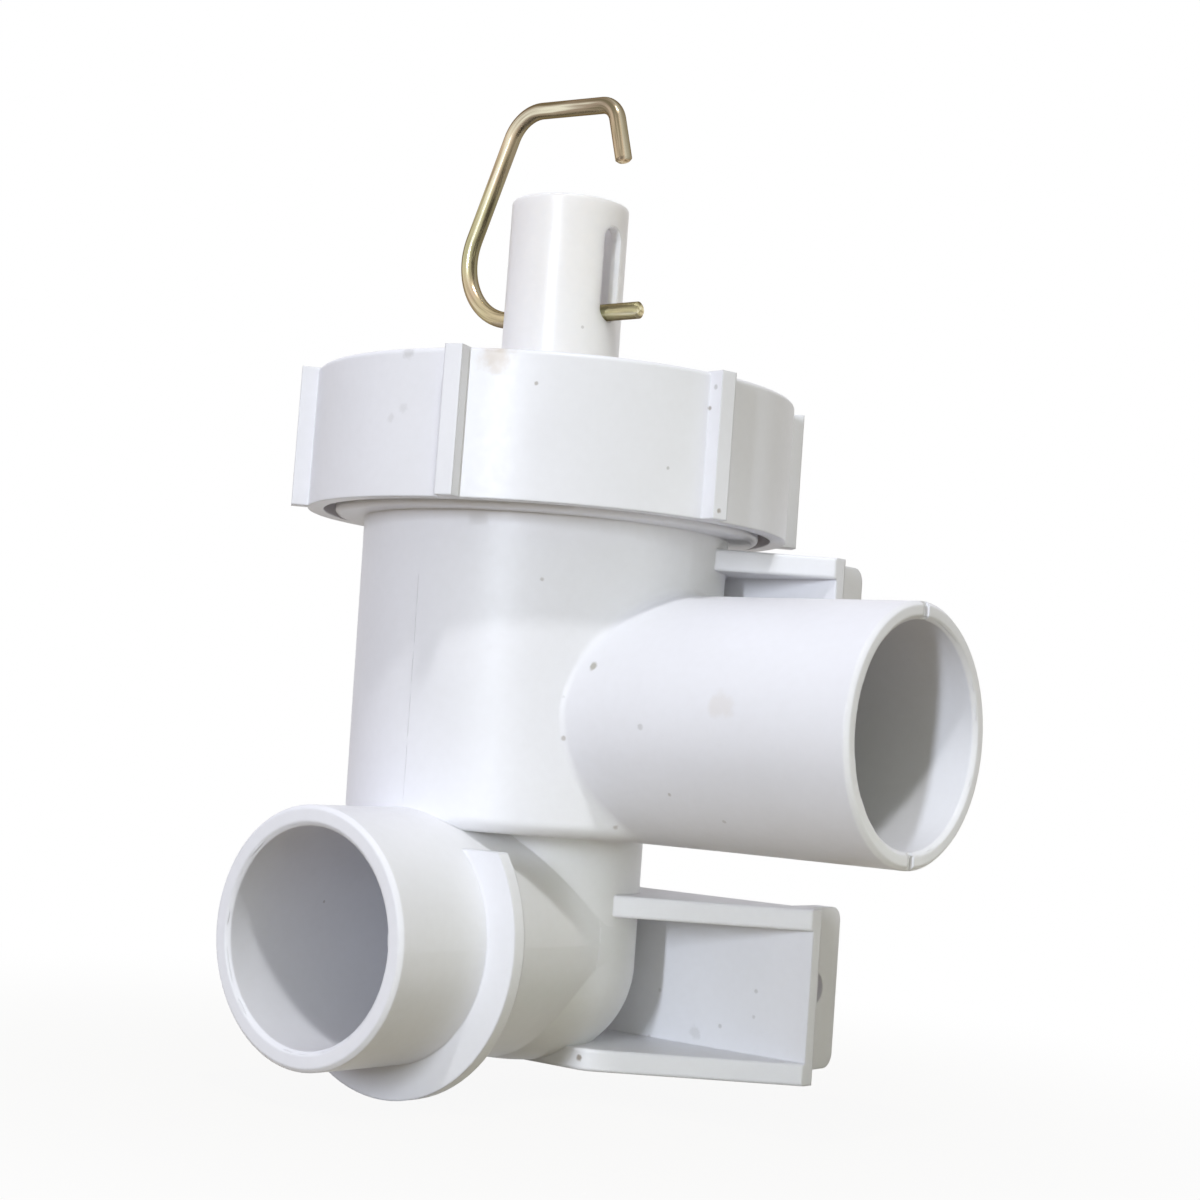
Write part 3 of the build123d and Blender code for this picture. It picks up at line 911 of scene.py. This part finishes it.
def root_fade(name, side):
    shape = bmesh.new()
    rows = []
    for k in range(FADE_STEPS + 1):
        y = FADE_FROM + (FADE_TO - FADE_FROM) * k / FADE_STEPS
        rises = [FADE_HALF_HEIGHT * (2 * j / FADE_STEPS - 1) for j in range(FADE_STEPS + 1)]
        for depth in (0, FADE_DEPTH):
            spots = [(side * (fade_point(y, rise) - depth), y, ROOT_Z + rise) for rise in rises]
            rows.append([shape.verts.new([v * MM for v in spot]) for spot in spots])
    outer, inner = rows[::2], rows[1::2]
    loops = [outer, inner, [outer[0], inner[0]], [outer[-1], inner[-1]]]
    loops += [[[row[end] for row in layer] for layer in (outer, inner)] for end in (0, -1)]
    for grid in loops:
        for low, high in zip(grid, grid[1:]):
            for a, b, c, d in zip(low, low[1:], high[1:], high):
                shape.faces.new((a, b, c, d))
    fade = piece_of(shape, name, body_finish)
    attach(fade, "body")


root_fade("root_fade_right", 1)
root_fade("root_fade_left", -1)

# %% [markdown]
# The bellows and the plug are one moulding of rubber. Half of its section is an outline in X and Z, and
# the spin tool of bmesh turns that about the valve's axis. The folds follow a cosine.

# %% Bellows
NECK_TOP_Z, BELLOWS_Z, PLUG_SEAT_Z, FOOT_Z = 84.65, 46.7, 33.9, 36.6
FOLDS, FOLD_STEPS, FOLD_DEPTH, FOLD_BORE, RUBBER_WALL = 5, 16, 4.2, 13.1, 1.3
FLANGE_R, PLUG_R, NOSE_R, NOSE_TAPER, NOSE_H = 28.3, 18.0, 12.7, 2.0, 4.0
POCKET_R, POCKET_TOP_Z, STEM_HOLE_R, SPRING_FLANGE_Z = 10.3, 38.7, 8.3, 41.4
SPIN_STEPS = 96


def fold_line(offset):
    line = []
    for k in range(FOLDS * FOLD_STEPS + 1):
        swell = FOLD_DEPTH * (1 + math.cos(2 * math.pi * k / FOLD_STEPS)) / 2
        rise = (NECK_TOP_Z - BELLOWS_Z) * k / (FOLDS * FOLD_STEPS)
        line.append((FOLD_BORE + swell + offset, BELLOWS_Z + rise))
    return line


def lathe(name, outline, material):
    """Turns a closed outline, given as X and Z in mm, about the Z axis."""
    shape = bmesh.new()
    ring = [shape.verts.new((x * MM, 0, z * MM)) for x, z in outline]
    pairs = zip(ring, ring[1:] + ring[:1])
    edges = [shape.edges.new(pair) for pair in pairs if pair[0].co.x or pair[1].co.x]
    bmesh.ops.spin(
        shape, geom=ring + edges, cent=(0, 0, 0), axis=(0, 0, 1), angle=2 * math.pi, steps=SPIN_STEPS
    )
    return piece_of(shape, name, material)


crest = FOLD_BORE + FOLD_DEPTH
bellows_outline = [
    *fold_line(RUBBER_WALL),
    (FLANGE_R, NECK_TOP_Z),
    (FLANGE_R, CAP_UNDER_Z),
    (crest, CAP_UNDER_Z),
    *reversed(fold_line(0)),
    (crest, SPRING_FLANGE_Z),
    (STEM_HOLE_R, SPRING_FLANGE_Z),
    (STEM_HOLE_R, POCKET_TOP_Z),
    (POCKET_R, POCKET_TOP_Z),
    (POCKET_R, FOOT_Z),
    (0, FOOT_Z),
    (0, PLUG_SEAT_Z - NOSE_H),
    (NOSE_R - NOSE_TAPER, PLUG_SEAT_Z - NOSE_H),
    (NOSE_R, PLUG_SEAT_Z),
    (PLUG_R, PLUG_SEAT_Z),
    (crest + RUBBER_WALL, SPRING_SEAT_Z),
]
bellows = lathe("bellows", bellows_outline, rubber_finish)
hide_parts("rubber_bellows")
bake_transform(bellows)
